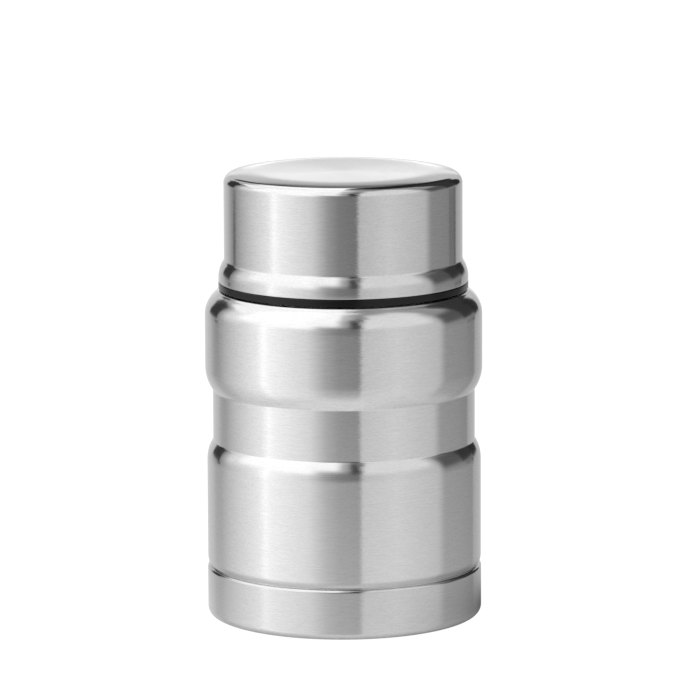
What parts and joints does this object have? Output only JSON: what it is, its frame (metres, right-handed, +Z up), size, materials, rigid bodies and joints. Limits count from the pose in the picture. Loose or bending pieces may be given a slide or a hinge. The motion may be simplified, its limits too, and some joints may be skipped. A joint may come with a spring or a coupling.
{
  "type": "insulated food jar",
  "caption": "Vacuum-insulated food jar: double-walled steel jar with a waisted body, screw-in black stopper with vent button, and a steel cup that screws over it.",
  "frame": {"origin": "centre of the base, on the surface the jar stands on", "axes": "+Z up along the jar's axis towards the cup; X and Y are free round the axis, +Y away from the usual viewer"},
  "size_m": [0.096, 0.096, 0.1555],
  "materials": {
    "brushed_shell_steel": "fine brushed round the body",
    "brushed_base_steel": "fine brushed",
    "brushed_cup_steel": "fine brushed, circular on the top",
    "liner_steel": "satin, electropolished",
    "reflective_foil": "bright copper foil",
    "solder_glass": "fused",
    "getter_metal": "matt sintered",
    "black_plastic": "fine-textured moulded polypropylene",
    "button_plastic": "semi-gloss moulded",
    "stem_plastic": "natural moulded",
    "white_foam": "expanded foam",
    "silicone": "translucent silicone",
    "spring_steel": "drawn stainless wire"
  },
  "bodies": {
    "jar": {"outer_shell": "brushed_shell_steel", "neck_sleeve": "liner_steel", "base_cup": "brushed_base_steel", "inner_liner": "liner_steel", "liner_bottom": "liner_steel", "foil_wrap": "reflective_foil", "vacuum_end_plate": "liner_steel", "seal_bead": "solder_glass", "getter": "getter_metal"},
    "stopper_seal": {"lip_seal": "silicone"},
    "stopper": {"stopper_cap": "black_plastic", "stopper_plug": "black_plastic", "stopper_foam": "white_foam", "rim_gasket": "silicone", "vent_spring": "spring_steel"},
    "vent": {"vent_button": "button_plastic", "vent_stem": "stem_plastic", "valve_disc": "silicone"},
    "cup_seal": {"cup_gasket": "silicone"},
    "cup": {"cup_shell": "brushed_cup_steel", "cup_thread_ring": "black_plastic"}
  },
  "joints": [
    {"name": "stopper_rise", "type": "slide", "parent": "jar", "child": "stopper_seal", "axis": [0, 0, 1], "range_m": [0, 0.0301]},
    {"name": "stopper_turn", "type": "hinge", "parent": "stopper_seal", "child": "stopper", "pos_m": [0, 0, 0.12], "axis": [0, 0, 1], "range_deg": [0, 900]},
    {"name": "vent_press", "type": "slide", "parent": "stopper", "child": "vent", "axis": [0, 0, -1], "range_m": [0, 0.0025], "stiffness_N_per_m": 300, "springref_m": -0.003, "deforming": ["vent_spring"]},
    {"name": "cup_rise", "type": "slide", "parent": "stopper", "child": "cup_seal", "axis": [0, 0, 1], "range_m": [0, 0.0201]},
    {"name": "cup_turn", "type": "hinge", "parent": "cup_seal", "child": "cup", "pos_m": [0, 0, 0.13], "axis": [0, 0, 1], "range_deg": [0, 600]}
  ],
  "couplings": [
    {"joint": "stopper_rise", "follows": "stopper_turn", "m_per_rad": 0.0019099},
    {"joint": "cup_rise", "follows": "cup_turn", "m_per_rad": 0.0019099}
  ]
}
